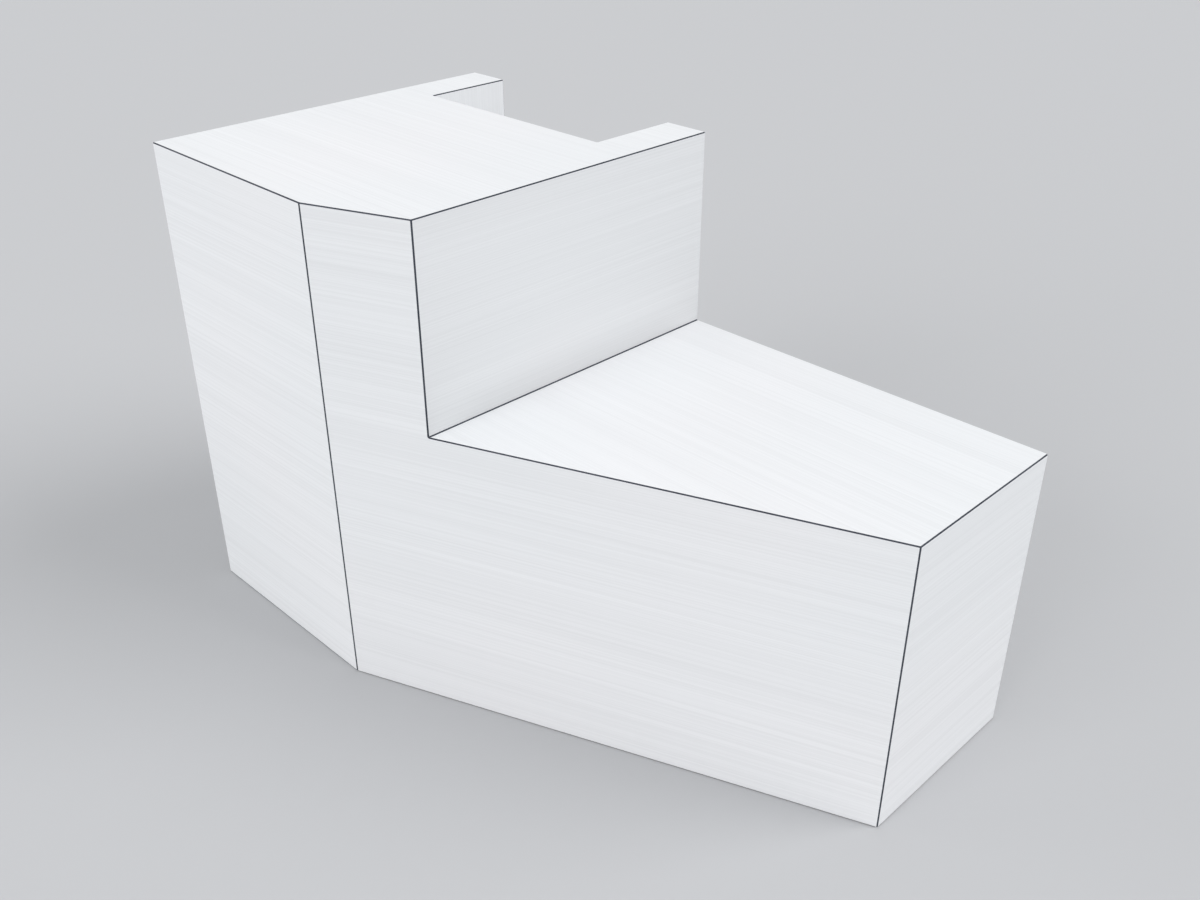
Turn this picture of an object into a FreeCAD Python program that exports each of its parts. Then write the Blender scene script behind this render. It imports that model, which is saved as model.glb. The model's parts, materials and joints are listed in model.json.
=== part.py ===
# A step block for workholding: one solid block of hardened steel, ground on every working face.
#
# The block lies along X, stands on its base at Z = 0 and has its origin under the middle of its
# bounding box. The heel face looks to -X, the nose face to +X, the cheek face to -Y and the back
# face to +Y. Seen from above, the outline is a rectangle with one long corner cut away: the cheek
# face starts at the heel, and from its far end the flank slants back to the nose face.
#
# The tower stands at the heel, and its riser faces +X over the low step, which goes on to the nose.
# The flank is one flat face over tower and step. The tower has a clearance slot in its back face,
# open at the top, at the base and at the back. Outer edges have a small edge break, and inner
# corners keep the corner radius of the wheel.

import FreeCAD, Part
import Sketcher
import os

Vector = FreeCAD.Vector

# Driving dimensions in millimetres: alias, value, meaning
SIZES = [
    ("block_length", 75.0, "heel face to nose face, along X"),
    ("block_width", 40.0, "cheek face to back face, along Y"),
    ("block_height", 50.0, "base to the top of the tower, along Z"),
    ("step_height", 30.0, "base to the top of the low step"),
    ("tower_length", 35.0, "heel face to the riser above the step"),
    ("cheek_length", 25.0, "heel face to the start of the flank"),
    ("nose_width", 20.0, "back face to the end of the flank"),
    ("slot_width", 25.0, "clearance slot, between its two side walls"),
    ("slot_depth", 10.0, "clearance slot, back face to slot floor"),
    ("corner_radius", 0.1, "wheel radius left at the riser's foot and in the slot's corners"),
    ("edge_break", 0.1, "leg of the 45 degree break on every outer edge"),
]

PROBE = 1e-3  # mm, how far from an edge the solid is felt for
SMOOTH = 0.999  # cosine between two faces that run into each other with no edge to feel

# A sketch numbers its two axes down from -1 and a line's two ends up from 1. The first axis starts
# at the origin.
HORIZONTAL_AXIS, VERTICAL_AXIS = range(-1, -3, -1)
START, END = range(1, 3)
ORIGIN = (HORIZONTAL_AXIS, START)


def make_sheet(doc):
    """The spreadsheet of driving dimensions, with one aliased cell for each."""
    sheet = doc.addObject("Spreadsheet::Sheet", "Sizes")
    for row, (alias, value, meaning) in enumerate(SIZES, start=1):
        sheet.set(f"A{row}", meaning)
        sheet.set(f"B{row}", str(value))
        sheet.setAlias(f"B{row}", alias)
    doc.recompute()
    return sheet


def new_sketch(body, name, plane_role):
    """An empty sketch on one of the body's origin planes."""
    sketch = body.newObject("Sketcher::SketchObject", name)
    plane = next(f for f in body.Origin.OriginFeatures if f.Role == plane_role)
    sketch.AttachmentSupport = (plane, [""])
    sketch.MapMode = "FlatFace"
    return sketch


def draw_polygon(sketch, corners):
    """Draws a closed polygon and joins the end of each side to the start of the next."""
    for here, there in zip(corners, corners[1:] + corners[:1]):
        sketch.addGeometry(Part.LineSegment(Vector(*here, 0), Vector(*there, 0)), False)
    for side in range(len(corners)):
        following = (side + 1) % len(corners)
        sketch.addConstraint(Sketcher.Constraint("Coincident", side, END, following, START))


def draw_rectangle(sketch, left, bottom, right, top):
    """Draws a level rectangle. Its sides are 0 bottom, 1 right, 2 top and 3 left."""
    draw_polygon(sketch, [(left, bottom), (right, bottom), (right, top), (left, top)])
    for side, direction in enumerate(("Horizontal", "Vertical", "Horizontal", "Vertical")):
        sketch.addConstraint(Sketcher.Constraint(direction, side))


def bind(sketch, index, name, expression):
    """Names a dimension of a sketch and ties it to the sheet."""
    sketch.renameConstraint(index, name)
    sketch.setExpression(f"Constraints.{name}", expression)


def bind_side(sketch, name, side, expression):
    """Ties the length of one side to the sheet."""
    drawn = sketch.Geometry[side].length()
    index = sketch.addConstraint(Sketcher.Constraint("Distance", side, drawn))
    bind(sketch, index, name, expression)


def bind_offset(sketch, name, direction, low, high, expression):
    """Ties the distance from one point up to another along a sketch axis to the sheet."""
    gap = sketch.getPoint(*high) - sketch.getPoint(*low)
    drawn = gap.x if direction == "DistanceX" else gap.y
    index = sketch.addConstraint(Sketcher.Constraint(direction, *low, *high, drawn))
    bind(sketch, index, name, expression)


def make_blank(body, sheet):
    """The full-height blank: the outline seen from above, padded up from the base."""
    half_length = sheet.block_length / 2
    half_width = sheet.block_width / 2
    sketch = new_sketch(body, "Outline", "XY_Plane")
    draw_polygon(sketch, [
        (-half_length, -half_width),
        (-half_length + sheet.cheek_length, -half_width),
        (half_length, half_width - sheet.nose_width),
        (half_length, half_width),
        (-half_length, half_width),
    ])
    cheek, nose, back, heel = 0, 2, 3, 4
    for constraint in (
        Sketcher.Constraint("Horizontal", cheek),
        Sketcher.Constraint("Vertical", nose),
        Sketcher.Constraint("Symmetric", back, START, back, END, VERTICAL_AXIS),
        Sketcher.Constraint("Symmetric", heel, START, heel, END, HORIZONTAL_AXIS),
    ):
        sketch.addConstraint(constraint)
    bind_side(sketch, "length", back, "Sizes.block_length")
    bind_side(sketch, "width", heel, "Sizes.block_width")
    bind_side(sketch, "cheek", cheek, "Sizes.cheek_length")
    bind_side(sketch, "nose", nose, "Sizes.nose_width")

    blank = body.newObject("PartDesign::Pad", "Blank")
    blank.Profile = sketch
    blank.setExpression("Length", "Sizes.block_height")
    return blank


def cut_step(body, sheet):
    """Cuts the low step: all that stands above it, from the riser to the nose face."""
    half_length = sheet.block_length / 2
    riser = -half_length + sheet.tower_length
    sketch = new_sketch(body, "StepSide", "XZ_Plane")
    draw_rectangle(sketch, riser, sheet.step_height, half_length, sheet.block_height)
    bottom, right = 0, 1
    bind_side(sketch, "length", bottom, "Sizes.block_length - Sizes.tower_length")
    bind_side(sketch, "rise", right, "Sizes.block_height - Sizes.step_height")
    bind_offset(sketch, "nose", "DistanceX", ORIGIN, (bottom, END), "Sizes.block_length / 2")
    bind_offset(sketch, "height", "DistanceY", ORIGIN, (bottom, END), "Sizes.step_height")

    cut = body.newObject("PartDesign::Pocket", "StepCut")
    cut.Profile = sketch
    cut.Type = "ThroughAll"
    cut.SideType = "Symmetric"
    return cut


def cut_slot(body, sheet):
    """Cuts the clearance slot up through the tower, midway along it, open to the back face."""
    half_length = sheet.block_length / 2
    half_width = sheet.block_width / 2
    left = -half_length + (sheet.tower_length - sheet.slot_width) / 2
    floor = half_width - sheet.slot_depth
    sketch = new_sketch(body, "SlotPlan", "XY_Plane")
    draw_rectangle(sketch, left, floor, left + sheet.slot_width, half_width)
    bottom, right, top = 0, 1, 2
    bind_side(sketch, "width", bottom, "Sizes.slot_width")
    bind_side(sketch, "depth", right, "Sizes.slot_depth")
    bind_offset(sketch, "back", "DistanceY", ORIGIN, (top, END), "Sizes.block_width / 2")
    bind_offset(sketch, "wall", "DistanceX", (top, END), ORIGIN,
                "(Sizes.block_length - Sizes.tower_length + Sizes.slot_width) / 2")

    cut = body.newObject("PartDesign::Pocket", "SlotCut")
    cut.Profile = sketch
    cut.Type = "ThroughAll"
    cut.Reversed = True  # from the base upwards
    return cut


def outward(face, point):
    """The face's outward normal at a point on it."""
    u, v = face.Surface.parameter(point)
    return face.normalAt(u, v)


def edge_kind(shape, edge):
    """The kind of an edge: outer, inner, or smooth where its two faces run into each other."""
    one, other = shape.ancestorsOfType(edge, Part.Face)
    middle = edge.valueAt((edge.FirstParameter + edge.LastParameter) / 2)
    normal, other_normal = outward(one, middle), outward(other, middle)
    if normal.dot(other_normal) > SMOOTH:
        return "smooth"
    beside = middle + (normal - other_normal) * PROBE
    tolerance = PROBE / 10
    return "inner" if shape.isInside(beside, tolerance, False) else "outer"


def edge_names(shape, kind):
    """The names of all edges of a shape that are of one kind."""
    return [f"Edge{n}" for n, edge in enumerate(shape.Edges, start=1) if edge_kind(shape, edge) == kind]


def round_corners(body, base):
    """The wheel's corner radius, along the foot of the riser and both floor corners of the slot."""
    fillet = body.newObject("PartDesign::Fillet", "CornerRadii")
    fillet.Base = (base, edge_names(base.Shape, "inner"))
    fillet.setExpression("Radius", "Sizes.corner_radius")
    return fillet


def break_edges(body, base):
    """The small 45 degree break that takes the burr off every outer edge."""
    chamfer = body.newObject("PartDesign::Chamfer", "EdgeBreaks")
    chamfer.Base = (base, edge_names(base.Shape, "outer"))
    chamfer.setExpression("Size", "Sizes.edge_break")
    return chamfer


def check_document(doc):
    """Stops if any object of the document failed to build."""
    for item in doc.Objects:
        if "Invalid" in item.State or "Error" in item.State:
            raise RuntimeError(f"{item.Name} did not build: {item.State}")


def check_cut(cut):
    """Stops if a cut took nothing off, as one that points away from the solid does."""
    if cut.Shape.Volume >= cut.BaseFeature.Shape.Volume:
        raise RuntimeError(f"{cut.Name} cuts nothing")


def check_solid(body):
    """Stops unless the body is one valid closed solid."""
    shape = body.Shape
    if shape.isNull() or not shape.isValid() or len(shape.Solids) != 1:
        raise RuntimeError(f"{body.Label} is not one valid solid")


def main():
    """Builds the block in a new document, checks it and writes its STEP file."""
    doc = FreeCAD.newDocument("StepBlock")
    sheet = make_sheet(doc)
    block = doc.addObject("PartDesign::Body", "Block")
    block.Label = "step_block"

    make_blank(block, sheet)
    step = cut_step(block, sheet)
    slot = cut_slot(block, sheet)
    doc.recompute()
    check_cut(step)
    check_cut(slot)

    corners = round_corners(block, slot)
    doc.recompute()
    break_edges(block, corners)
    doc.recompute()

    check_document(doc)
    check_solid(block)
    os.makedirs("parts", exist_ok=True)
    block.Shape.exportStep(f"parts/{block.Label}.step")
    print(f"{block.Label}: {block.Shape.Volume / 1000:.2f} cm3, {len(block.Shape.Faces)} faces")


main()
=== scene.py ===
"""Looks of a step block for workholding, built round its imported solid.

The block is hardened steel. Its faces are surface ground to a pale satin, each along its own
length, and the clearance slot is ground up and down. The edge breaks and the inner corners, which
the wheel doesn't reach, keep the dark skin of the heat treatment. The solid already has every
face, break and corner radius, so it stays, and this script gives it its finish, a pale floor to
stand on, soft studio light and the camera.
"""

import json
import logging
import math
from dataclasses import dataclass, field
from typing import Optional, Sequence, Union

import bmesh
import bpy
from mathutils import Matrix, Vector

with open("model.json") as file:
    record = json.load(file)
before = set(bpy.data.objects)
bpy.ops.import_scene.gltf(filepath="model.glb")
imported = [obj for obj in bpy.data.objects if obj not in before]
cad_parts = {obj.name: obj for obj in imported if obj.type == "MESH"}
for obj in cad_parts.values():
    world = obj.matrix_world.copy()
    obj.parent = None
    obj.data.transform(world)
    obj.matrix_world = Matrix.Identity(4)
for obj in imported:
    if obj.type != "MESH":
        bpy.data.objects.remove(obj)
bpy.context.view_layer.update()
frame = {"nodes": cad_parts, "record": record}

MM = 0.001

Socket = bpy.types.NodeSocket
Value = Union[Socket, float, Sequence[float]]
Inputs = dict[Union[str, int], Value]
NUMBER = "NodeSocketFloat"
VECTOR = "NodeSocketVector"
log = logging.getLogger("step_block")


class Wiring:
    """Adds nodes to one node tree and joins their sockets.

    A colour mix has sockets of the same name for every kind of data, and a shader mix has two inputs
    of one name, so theirs go by number. Clouds are noise with few finer layers, of which the part
    from low to high becomes 0 to 1.
    """

    TINT_SHARE, TINT_LOW, TINT_HIGH = 0, 6, 7
    TINT_RESULT = 2
    MIX_SHARE, MIX_LOW, MIX_HIGH = 0, 1, 2
    CLOUD_DETAIL = 1.0
    CLOUD_LOW, CLOUD_HIGH = 0.3, 0.7

    def __init__(self, tree: bpy.types.NodeTree) -> None:
        """Starts afresh on the node tree of a material, a world or a group."""
        self.tree = tree
        self.tree.nodes.clear()

    @classmethod
    def of_group(cls, name: str, inputs: dict[str, str], outputs: dict[str, str]) -> "Wiring":
        """Starts a new shader node group.

        Args:
            name: The group's name.
            inputs: The kind of each input, by the input's name.
            outputs: The kind of each output, by the output's name.

        Returns:
            The group's wiring.
        """
        group = bpy.data.node_groups.new(name, "ShaderNodeTree")
        for side, sockets in (("INPUT", inputs), ("OUTPUT", outputs)):
            for socket, kind in sockets.items():
                group.interface.new_socket(socket, in_out=side, socket_type=kind)
        return cls(group)

    def feed(self, socket: Socket, value: Value) -> None:
        """Joins a socket to another, or sets its plain value.

        Args:
            socket: The input that is fed.
            value: The socket, number or list of numbers that feeds it.
        """
        if isinstance(value, bpy.types.NodeSocket):
            self.tree.links.new(value, socket)
        else:
            socket.default_value = value

    def add(self, kind: str, inputs: Optional[Inputs] = None, **settings: object) -> bpy.types.Node:
        """Adds a node.

        Args:
            kind: The node's type in Blender.
            inputs: What feeds each of its inputs, by the input's name or number.
            **settings: The node's own properties.

        Returns:
            The new node.
        """
        node = self.tree.nodes.new(kind)
        for name, setting in settings.items():
            setattr(node, name, setting)
        for key, value in (inputs or {}).items():
            self.feed(node.inputs[key], value)
        return node

    def math(self, operation: str, *values: Value) -> Socket:
        """The result of a Math node on one to three values."""
        node = self.add("ShaderNodeMath", dict(enumerate(values)), operation=operation)
        return node.outputs["Value"]

    def vector(self, operation: str, *values: Value) -> bpy.types.Node:
        """A Vector Math node on one to three vectors."""
        return self.add("ShaderNodeVectorMath", dict(enumerate(values)), operation=operation)

    def split(self, vector: Socket) -> tuple[Socket, ...]:
        """The three numbers of a vector."""
        node = self.add("ShaderNodeSeparateXYZ", {"Vector": vector})
        return tuple(node.outputs[axis] for axis in "XYZ")

    def within(self, value: Socket, low: float, high: float) -> Socket:
        """1 where a number is between low and high, and 0 elsewhere."""
        return self.every(self.math("GREATER_THAN", value, low), self.math("LESS_THAN", value, high))

    def every(self, one: Socket, other: Socket) -> Socket:
        """1 where both of two answers are 1, and 0 elsewhere."""
        return self.math("MULTIPLY", one, other)

    def combine(self, x: Value, y: Value, z: Value) -> Socket:
        """A vector made from three numbers."""
        return self.add("ShaderNodeCombineXYZ", {"X": x, "Y": y, "Z": z}).outputs["Vector"]

    def blend(self, share: Value, low: Value, high: Value) -> Socket:
        """A number that goes from low to high as the share goes from 0 to 1."""
        node = self.add("ShaderNodeMix", {"Factor": share, "A": low, "B": high}, data_type="FLOAT")
        return node.outputs["Result"]

    def tint(self, share: Value, low: Value, high: Value) -> Socket:
        """A colour that goes from low to high as the share goes from 0 to 1."""
        inputs = {self.TINT_SHARE: share, self.TINT_LOW: low, self.TINT_HIGH: high}
        return self.add("ShaderNodeMix", inputs, data_type="RGBA").outputs[self.TINT_RESULT]

    def mix(self, share: Value, low: Socket, high: Socket) -> Socket:
        """A shader that goes from low to high as the share goes from 0 to 1."""
        inputs = {self.MIX_SHARE: share, self.MIX_LOW: low, self.MIX_HIGH: high}
        return self.add("ShaderNodeMixShader", inputs).outputs["Shader"]

    def noise(self, place: Value, scale: float, detail: float) -> Socket:
        """Noise from 0 to 1, with scale clouds to a unit of length and detail finer layers."""
        node = self.add("ShaderNodeTexNoise", {"Vector": place, "Scale": scale, "Detail": detail})
        return node.outputs["Fac"]

    def clouds(self, place: Value, size: float) -> Socket:
        """Soft patches from 0 to 1 of about one size, in metres."""
        noise = self.noise(place, 1 / size, self.CLOUD_DETAIL)
        return self.spread(noise, self.CLOUD_LOW, self.CLOUD_HIGH)

    def spread(self, value: Value, low: float, high: float) -> Socket:
        """Smoothly stretches a part of a value's range over 0 to 1, and clips the rest.

        Args:
            value: The value.
            low: What becomes 0.
            high: What becomes 1.

        Returns:
            The stretched value.
        """
        inputs = {"Value": value, "From Min": low, "From Max": high}
        node = self.add("ShaderNodeMapRange", inputs, interpolation_type="SMOOTHSTEP")
        return node.outputs["Result"]


# Faces look the same way if the cosine of the angle between them is more than this
SAME_WAY = math.cos(math.radians(3.0))
# A point lies in a plane if it is less than this from it
NEAR = 0.05 * MM


@dataclass(frozen=True)
class BlockPlan:
    """Where the block's own faces lie, read from its solid and its record, in metres.

    Attributes:
        flank_normal: The outward normal of the slanted flank.
        riser: How far along X the riser above the step stands.
        riser_start: Where the riser starts along Y, at the flank.
        riser_end: Where the riser ends along Y, at the back face.
        foot: How high the riser's foot is.
        slot_low: The lowest corner of the clearance slot, its walls included.
        slot_high: The highest corner of the clearance slot, its walls included.
    """

    flank_normal: Vector
    riser: float
    riser_start: float
    riser_end: float
    foot: float
    slot_low: Vector
    slot_high: Vector

    @classmethod
    def read(cls, mesh: bpy.types.Mesh, record: dict, slot_gap: float) -> "BlockPlan":
        """Finds the faces.

        Args:
            mesh: The mesh of the solid.
            record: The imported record.
            slot_gap: A little more than the record's opening stays inside the slot's walls.

        Returns:
            The plan.
        """
        slanted = [face for face in mesh.polygons if max(map(abs, face.normal)) < SAME_WAY]
        flank = max(slanted, key=lambda face: face.area)
        foot = next(mount for mount in record["mounts"] if mount["name"] == "step_seat")["pos_m"][2]
        forward = [face for face in mesh.polygons if face.normal.x > SAME_WAY and face.center.z > foot]
        riser = max(face.center.x for face in forward)
        across = [
            mesh.vertices[corner].co.y
            for face in forward if riser - face.center.x < NEAR
            for corner in face.vertices
        ]
        opening = next(o for o in record["physics"]["openings"] if o["name"] == "clearance_slot")
        low, high = (Vector(corner) for corner in opening["box_m"])
        gap = Vector((slot_gap,) * 3)
        return cls(
            flank.normal.copy(), riser, min(across), max(across), foot, low - gap, high + gap,
        )


class FaceFinder:
    """The shader group that tells the block's faces apart, by which way they look and where they lie.

    Its Ground output is 1 on the ground faces and 0 on breaks and corner radii. Level, Slot and
    Riser are 1 on level faces, in the clearance slot and on the riser. Height is how far a point is
    above the riser's foot, and Inset how far in from the riser's nearer end, in metres. Position and
    Normal are where the point is and which way its face looks, along the block's own axes.
    """

    LEVEL_NORMAL = 0.9
    OUTPUTS = {
        "Ground": NUMBER, "Level": NUMBER, "Slot": NUMBER, "Riser": NUMBER,
        "Height": NUMBER, "Inset": NUMBER, "Position": VECTOR, "Normal": VECTOR,
    }

    def __init__(self, plan: BlockPlan) -> None:
        """Builds the group.

        Args:
            plan: Where the block's faces lie.
        """
        wiring = Wiring.of_group("face_finder", {}, self.OUTPUTS)
        self.group = wiring.tree
        geometry = wiring.add("ShaderNodeNewGeometry")
        turned = wiring.add(
            "ShaderNodeVectorTransform",
            {"Vector": geometry.outputs["True Normal"]},
            vector_type="NORMAL", convert_from="WORLD", convert_to="OBJECT",
        )
        normal = wiring.vector("NORMALIZE", turned.outputs["Vector"]).outputs["Vector"]
        place = wiring.add("ShaderNodeTexCoord").outputs["Object"]
        x, y, z = wiring.split(place)
        lean_x, lean_y, lean_z = wiring.split(wiring.vector("ABSOLUTE", normal).outputs["Vector"])
        square = wiring.math("MAXIMUM", wiring.math("MAXIMUM", lean_x, lean_y), lean_z)
        slanted = wiring.vector("DOT_PRODUCT", normal, plan.flank_normal).outputs["Value"]
        height = wiring.math("SUBTRACT", z, plan.foot)
        from_start = wiring.math("SUBTRACT", y, plan.riser_start)
        from_end = wiring.math("SUBTRACT", plan.riser_end, y)
        wiring.add("NodeGroupOutput", {
            "Ground": wiring.math("GREATER_THAN", wiring.math("MAXIMUM", square, slanted), SAME_WAY),
            "Level": wiring.math("GREATER_THAN", lean_z, self.LEVEL_NORMAL),
            "Slot": wiring.every(
                wiring.within(x, plan.slot_low.x, plan.slot_high.x),
                wiring.within(y, plan.slot_low.y, plan.slot_high.y),
            ),
            "Riser": wiring.every(
                wiring.within(x, plan.riser - NEAR, plan.riser + NEAR),
                wiring.math("GREATER_THAN", lean_x, SAME_WAY),
            ),
            "Height": height,
            "Inset": wiring.math("MINIMUM", from_start, from_end),
            "Position": place,
            "Normal": normal,
        })

    def place(self, wiring: Wiring) -> bpy.types.Node:
        """Puts the group into a material and returns its node."""
        return wiring.add("ShaderNodeGroup", node_tree=self.group)


@dataclass(frozen=True)
class LineSet:
    """One set of grinding lines.

    Attributes:
        width: How wide one line is, in metres.
        length: How long one line is, in metres.
        contrast: How much paler the palest line is than the darkest, as a share of the tone.
    """

    width: float
    length: float
    contrast: float


class GrindingLines:
    """The shader group of straight parallel lines that a wheel leaves, along each face's own travel.

    Level faces are ground along the block, upright faces level, and the slot up and down. The lines
    are noise that is stretched along the travel, of which the part from darkest to palest becomes 0
    to 1. Each face reads it hundreds of lines away from the next one, so no line runs over an edge.
    """

    INPUTS = {
        "Position": VECTOR, "Normal": VECTOR, "Level": NUMBER, "Slot": NUMBER,
        "Width": NUMBER, "Length": NUMBER,
    }
    FROM_FACES = ("Position", "Normal", "Level", "Slot")
    DETAIL = 2.0
    LINES_APART = 370.0
    PALEST, DARKEST = 0.68, 0.32

    def __init__(self) -> None:
        """Builds the group."""
        wiring = Wiring.of_group("grinding_lines", self.INPUTS, {"Lines": NUMBER})
        self.group = wiring.tree
        given = wiring.add("NodeGroupInput").outputs
        fine = wiring.math("DIVIDE", 1.0, given["Width"])
        long = wiring.math("DIVIDE", 1.0, given["Length"])
        scale = wiring.combine(
            wiring.blend(given["Slot"], long, fine),
            wiring.blend(wiring.math("MAXIMUM", given["Level"], given["Slot"]), long, fine),
            wiring.blend(given["Slot"], fine, long),
        )
        stretched = wiring.vector("MULTIPLY", given["Position"], scale).outputs["Vector"]
        shift = wiring.vector("MULTIPLY", given["Normal"], (self.LINES_APART,) * 3).outputs["Vector"]
        place = wiring.vector("ADD", stretched, shift).outputs["Vector"]
        lines = wiring.spread(wiring.noise(place, 1.0, self.DETAIL), self.DARKEST, self.PALEST)
        wiring.add("NodeGroupOutput", {"Lines": lines})

    def place(self, wiring: Wiring, found: bpy.types.Node, cut: LineSet) -> Socket:
        """Puts the group into a material.

        Args:
            wiring: The material's wiring.
            found: The face finder's node in the same material.
            cut: The set of lines that it makes there.

        Returns:
            The lines, from 0 to 1.
        """
        inputs = {name: found.outputs[name] for name in self.FROM_FACES}
        inputs.update({"Width": cut.width, "Length": cut.length})
        return wiring.add("ShaderNodeGroup", inputs, node_tree=self.group).outputs["Lines"]


@dataclass(frozen=True)
class PaintedRiserShade:
    """Painted shade on the riser, which makes it a little darker than the other faces.

    It darkens downwards, and most in the last millimetres above its foot, which is painted corner
    shade that gets lighter towards the foot's two ends. A shade of 1 is as pale as the other faces,
    and where the riser's two shades meet, they multiply.

    Attributes:
        top: The first shade, at the riser's top.
        low: The first shade, at its foot.
        fade: How high above the foot the first shade has become the top's, in metres.
        foot: The second shade, at the middle of the foot.
        foot_end: The second shade, at the foot's two ends.
        foot_height: How high the second shade reaches, in metres.
        end_length: How far in from its ends the foot's painted shade is full, in metres.
    """

    top: float = 0.935
    low: float = 0.878
    fade: float = 18 * MM
    foot: float = 0.895
    foot_end: float = 0.963
    foot_height: float = 4 * MM
    end_length: float = 7 * MM

    def shade(self, wiring: Wiring, found: bpy.types.Node) -> Socket:
        """How much painted shade darkens the riser at a point.

        Args:
            wiring: The material's wiring.
            found: The face finder's node.

        Returns:
            The shade, which is 1 on all other faces.
        """
        height = found.outputs["Height"]
        # Painted shade: darker downwards over the whole riser
        fade = wiring.blend(wiring.spread(height, 0.0, self.fade), self.low, self.top)
        # Painted corner shade over the foot, lighter towards its two ends
        inside = wiring.spread(found.outputs["Inset"], 0.0, self.end_length)
        along_foot = wiring.blend(inside, self.foot_end, self.foot)
        foot = wiring.blend(wiring.spread(height, 0.0, self.foot_height), along_foot, 1.0)
        return wiring.blend(found.outputs["Riser"], 1.0, wiring.math("MULTIPLY", fade, foot))


@dataclass(frozen=True)
class GroundSteel:
    """Hardened steel, surface ground to a pale satin, with dark breaks and inner corners.

    Colours are linear.

    Attributes:
        name: The record's material slot.
        cool_face: The ground faces' tone in one kind of patch.
        warm_face: Their tone in the other.
        face_patch: How large those patches are, in metres.
        dark_skin: The tone of the skin on breaks and in inner corners.
        worn_skin: Its tone in worn patches.
        skin_patch: How large those patches are, in metres.
        metallic: How far the steel shines as bare metal does.
        specular: How strong its gloss is.
        face_roughness: How rough the ground faces are on average.
        roughness_swing: How much rougher or smoother a fine line is than that, at most.
        skin_roughness: How rough the skin is.
        passes: The broad stripes of the wheel's passes.
        streaks: The streaks within a pass.
        fine: The fine lines, the only ones that have depth.
        line_depth: How deep the fine lines are, in metres.
        bump_strength: How much of that depth shows.
        riser: The shade painted on the riser.
    """

    name: str = "ground_steel"
    cool_face: tuple[float, ...] = (0.860, 0.872, 0.885, 1.0)
    warm_face: tuple[float, ...] = (0.878, 0.878, 0.890, 1.0)
    face_patch: float = 30 * MM
    dark_skin: tuple[float, ...] = (0.040, 0.046, 0.063, 1.0)
    worn_skin: tuple[float, ...] = (0.062, 0.070, 0.090, 1.0)
    skin_patch: float = 4 * MM
    metallic: float = 0.2
    specular: float = 0.3
    face_roughness: float = 0.52
    roughness_swing: float = 0.05
    skin_roughness: float = 0.55
    passes: LineSet = LineSet(width=4 * MM, length=300 * MM, contrast=0.014)
    streaks: LineSet = LineSet(width=0.45 * MM, length=160 * MM, contrast=0.022)
    fine: LineSet = LineSet(width=0.12 * MM, length=60 * MM, contrast=0.050)
    line_depth: float = 0.0012 * MM
    bump_strength: float = 0.6
    riser: PaintedRiserShade = PaintedRiserShade()

    def build(self, faces: FaceFinder, lines: GrindingLines) -> bpy.types.Material:
        """Makes the material.

        Args:
            faces: The group that tells the faces apart.
            lines: The group of grinding lines.

        Returns:
            The material.
        """
        material = bpy.data.materials.new(self.name)
        material.use_nodes = True
        wiring = Wiring(material.node_tree)
        found = faces.place(wiring)
        marks = {cut: lines.place(wiring, found, cut) for cut in (self.passes, self.streaks, self.fine)}
        bump = wiring.add("ShaderNodeBump", {
            "Height": marks[self.fine], "Strength": self.bump_strength, "Distance": self.line_depth,
        })
        shader = wiring.add("ShaderNodeBsdfPrincipled", {
            "Base Color": self.colour(wiring, found, marks), "Metallic": self.metallic,
            "Roughness": self.roughness(wiring, found, marks[self.fine]),
            "Specular IOR Level": self.specular, "Normal": bump.outputs["Normal"],
        })
        wiring.add("ShaderNodeOutputMaterial", {"Surface": shader.outputs["BSDF"]})
        return material

    def colour(self, wiring: Wiring, found: bpy.types.Node, marks: dict[LineSet, Socket]) -> Socket:
        """The steel's colour at a point.

        Args:
            wiring: The material's wiring.
            found: The face finder's node.
            marks: The lines of each set.

        Returns:
            The colour: the ground steel's with its lines and the riser's painted shade on faces,
            and the skin's elsewhere.
        """
        face_patches = wiring.clouds(found.outputs["Position"], self.face_patch)
        skin_patches = wiring.clouds(found.outputs["Position"], self.skin_patch)
        # The lines' shade times the riser's painted shade
        shade = wiring.math("MULTIPLY", self.line_shade(wiring, marks), self.riser.shade(wiring, found))
        steel = wiring.vector("SCALE", wiring.tint(face_patches, self.cool_face, self.warm_face))
        wiring.feed(steel.inputs["Scale"], shade)
        skin = wiring.tint(skin_patches, self.dark_skin, self.worn_skin)
        return wiring.tint(found.outputs["Ground"], skin, steel.outputs["Vector"])

    def roughness(self, wiring: Wiring, found: bpy.types.Node, fine: Socket) -> Socket:
        """The steel's roughness at a point.

        Args:
            wiring: The material's wiring.
            found: The face finder's node.
            fine: The fine lines.

        Returns:
            The roughness.
        """
        smoothest = self.face_roughness - self.roughness_swing
        roughest = self.face_roughness + self.roughness_swing
        face = wiring.blend(fine, smoothest, roughest)
        return wiring.blend(found.outputs["Ground"], self.skin_roughness, face)

    @staticmethod
    def line_shade(wiring: Wiring, marks: dict[LineSet, Socket]) -> Socket:
        """How pale the lines leave the steel at a point.

        Args:
            wiring: The material's wiring.
            marks: The lines of each set, from 0 to 1.

        Returns:
            The shade, which is 1 where every set is halfway between its palest and its darkest.
        """
        shade: Value = 1.0
        for cut, lines in marks.items():
            around = wiring.math("SUBTRACT", lines, 0.5)
            shade = wiring.math("MULTIPLY_ADD", around, cut.contrast, shade)
        return shade


@dataclass
class StepBlock:
    """The block: one solid, dressed in ground steel.

    Attributes:
        node: The solid's node.
        slot_gap: A little more than the record's opening stays inside the slot's walls, in metres.
        finish: The steel.
    """

    node: str = "step_block"
    slot_gap: float = 0.33 * MM
    finish: GroundSteel = field(default_factory=GroundSteel)

    def build(self) -> bpy.types.Object:
        """Dresses the solid.

        Returns:
            The solid.
        """
        block = frame["nodes"][self.node]
        faces = FaceFinder(BlockPlan.read(block.data, frame["record"], self.slot_gap))
        steel = self.finish.build(faces, GrindingLines())
        for slot in block.material_slots:
            slot.material = steel
        return block


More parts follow.
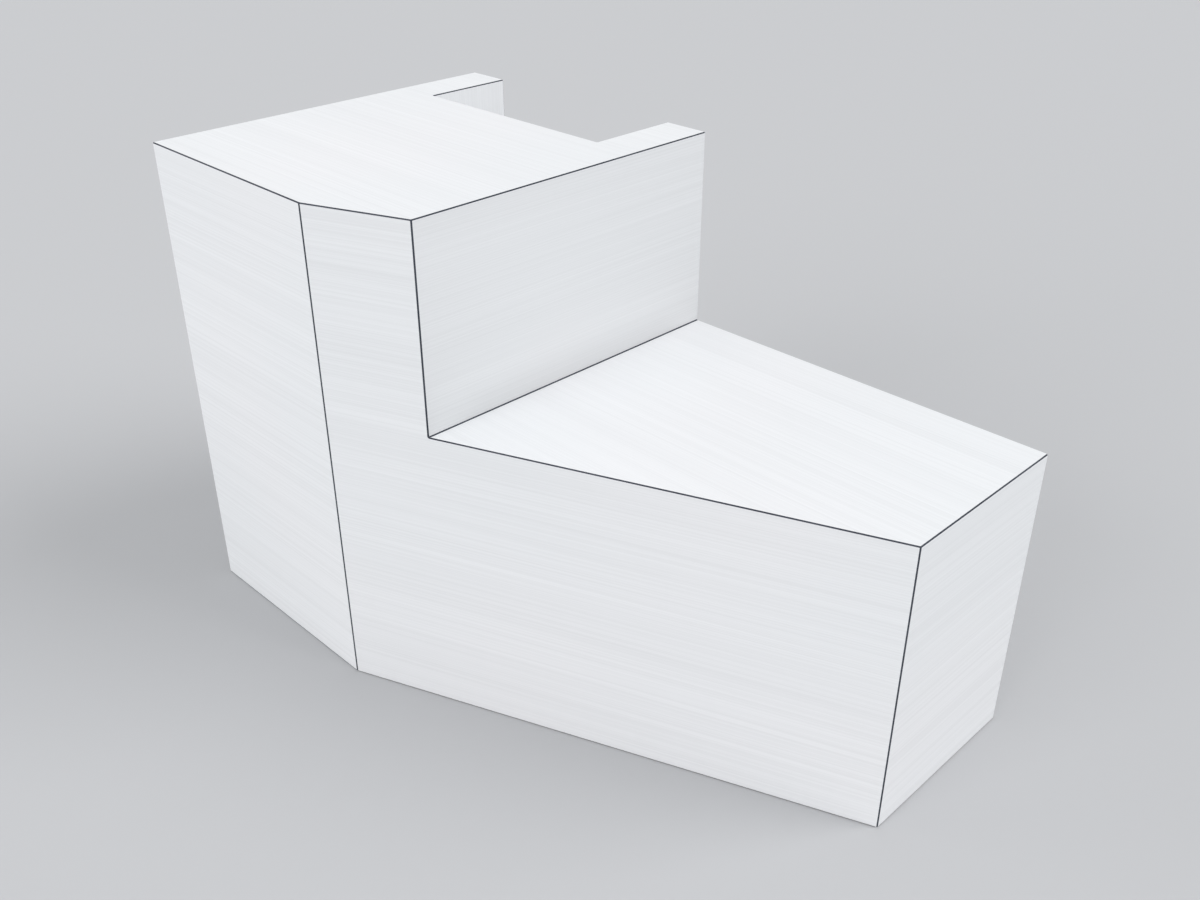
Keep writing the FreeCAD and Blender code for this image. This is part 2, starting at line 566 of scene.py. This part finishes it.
@dataclass
class Floor:
    """A wide pale matt floor, which isn't part of the block.

    Attributes:
        radius: How far it reaches, in metres.
        sides: How many straight sides its round edge has.
    """

    radius: float = 4.0
    sides: int = 96

    def build(self, colour: Sequence[float]) -> bpy.types.Object:
        """Makes the floor, level with the base of the block.

        Args:
            colour: Its colour.

        Returns:
            The floor.
        """
        mesh = bpy.data.meshes.new("floor")
        shape = bmesh.new()
        bmesh.ops.create_circle(shape, cap_ends=True, segments=self.sides, radius=self.radius)
        shape.to_mesh(mesh)
        shape.free()
        floor = bpy.data.objects.new("floor", mesh)
        bpy.context.scene.collection.objects.link(floor)
        mesh.materials.append(self.board(colour))
        return floor

    @staticmethod
    def board(colour: Sequence[float]) -> bpy.types.Material:
        """Makes plain board of one colour, without any gloss.

        Args:
            colour: The colour.

        Returns:
            The material.
        """
        material = bpy.data.materials.new("floor")
        material.use_nodes = True
        wiring = Wiring(material.node_tree)
        inputs = {"Base Color": colour, "Roughness": 1.0, "Specular IOR Level": 0.0}
        shader = wiring.add("ShaderNodeBsdfPrincipled", inputs)
        wiring.add("ShaderNodeOutputMaterial", {"Surface": shader.outputs["BSDF"]})
        return material


@dataclass(frozen=True)
class Softbox:
    """One large far lamp, which lights the block and the whole floor alike.

    No face mirrors the lamp, so no pale face clips from any side.

    Attributes:
        name: The lamp's name.
        azimuth: Which side it lights, in degrees: 0 is the cheek's, and 90 the nose's.
        elevation: How high it stands above the floor, in degrees.
        strength: How strong it is, in watts per square metre.
        spread: How wide it looks from the block, in degrees. All of it is above the floor.
    """

    name: str
    azimuth: float
    elevation: float
    strength: float
    spread: float = 40.0

    def build(self) -> bpy.types.Object:
        """Makes the lamp.

        Returns:
            The lamp.
        """
        lamp = bpy.data.lights.new(self.name, "SUN")
        lamp.angle = math.radians(self.spread)
        lamp.energy = self.strength
        box = bpy.data.objects.new(self.name, lamp)
        bpy.context.scene.collection.objects.link(box)
        turn = math.radians(self.azimuth)
        lift = math.radians(self.elevation)
        level = math.cos(lift)
        away = Vector((math.sin(turn) * level, -math.cos(turn) * level, math.sin(lift)))
        box.location = away
        box.rotation_euler = away.to_track_quat("Z", "Y").to_euler()
        box.visible_glossy = False
        return box


@dataclass
class Studio:
    """Soft light from all round, a plain floor and a backdrop that it runs into without a seam.

    Attributes:
        air: The colour of the even light from all round.
        air_strength: How strong that light is.
        backdrop: The colour that shows behind the block.
        floor: The floor.
        lamps: The lamps.
    """

    air: tuple[float, ...] = (0.97, 0.985, 1.0)
    air_strength: float = 0.738
    backdrop: tuple[float, ...] = (0.60, 0.61, 0.63)
    floor: Floor = field(default_factory=Floor)
    lamps: tuple[Softbox, ...] = (
        Softbox("softbox_heel_side", azimuth=-60.0, elevation=20.0, strength=0.3),
        Softbox("softbox_cheek_side", azimuth=0.0, elevation=20.0, strength=1.08),
        Softbox("softbox_back_side", azimuth=127.0, elevation=40.0, strength=1.41),
    )

    def build(self) -> None:
        """Makes the floor, the lamps and the world."""
        self.floor.build(self.floor_colour())
        for lamp in self.lamps:
            lamp.build()
        bpy.context.scene.world = self.world()

    def world(self) -> bpy.types.World:
        """Makes what lies all round: the air's even light, and the backdrop where it is seen.

        A mirrored or clear surface sees the backdrop too, as the camera does.

        Returns:
            The world.
        """
        world = bpy.data.worlds.new("studio")
        world.use_nodes = True
        wiring = Wiring(world.node_tree)
        air = wiring.add("ShaderNodeBackground", {
            "Color": (*self.air, 1.0), "Strength": self.air_strength,
        })
        backdrop = wiring.add("ShaderNodeBackground", {"Color": (*self.backdrop, 1.0), "Strength": 1.0})
        ray = wiring.add("ShaderNodeLightPath").outputs
        seen = wiring.math("MAXIMUM", ray["Is Camera Ray"], ray["Is Glossy Ray"])
        seen = wiring.math("MAXIMUM", seen, ray["Is Transmission Ray"])
        both = wiring.mix(seen, air.outputs["Background"], backdrop.outputs["Background"])
        wiring.add("ShaderNodeOutputWorld", {"Surface": both})
        return world

    def floor_colour(self) -> tuple[float, ...]:
        """Works out how pale the floor is.

        Returns:
            The colour that makes the open floor look as bright as the backdrop in this light.
        """
        lamps = sum(lamp.strength * math.sin(math.radians(lamp.elevation)) for lamp in self.lamps)
        light = [tone * self.air_strength + lamps / math.pi for tone in self.air]
        return (*(shown / given for shown, given in zip(self.backdrop, light)), 1.0)


@dataclass(frozen=True)
class Viewpoint:
    """The camera.

    Attributes:
        place: Where it stands, in metres.
        azimuth: Which side it looks from, in degrees: 0 is the cheek's, and 90 the nose's.
        elevation: How far down it looks, in degrees.
        upright_view: The angle that the picture's height takes in, in degrees.
        frame_shape: The picture's width over its height.
        sensor: The sensor's width, in millimetres.
        near: How far off things start to show, in metres.
        far: How far off they stop to show, in metres.
    """

    place: tuple[float, float, float] = (75.26 * MM, -72.38 * MM, 83.51 * MM)
    azimuth: float = 45.0
    elevation: float = 30.0
    upright_view: float = 40.0
    frame_shape: float = 1200 / 900
    sensor: float = 36.0
    near: float = 1 * MM
    far: float = 20.0

    def build(self) -> bpy.types.Object:
        """Makes the camera and sets it as the scene's.

        Returns:
            The camera.
        """
        lens = bpy.data.cameras.new("camera")
        lens.sensor_width = self.sensor
        half = math.tan(math.radians(self.upright_view / 2)) * self.frame_shape
        lens.lens = self.sensor / 2 / half
        lens.clip_start = self.near
        lens.clip_end = self.far
        camera = bpy.data.objects.new("camera", lens)
        bpy.context.scene.collection.objects.link(camera)
        camera.location = self.place
        camera.rotation_euler = (math.radians(90.0 - self.elevation), 0.0, math.radians(self.azimuth))
        bpy.context.scene.camera = camera
        return camera


def main() -> None:
    """Builds the view, the block and the studio."""
    logging.basicConfig(level=logging.INFO, format="%(message)s")
    bpy.context.scene.view_settings.view_transform = "Standard"
    Viewpoint().build()
    block = StepBlock().build()
    log.info("dressed %s", block.name)
    Studio().build()
    log.info("built the studio")


if __name__ == "__main__":
    main()
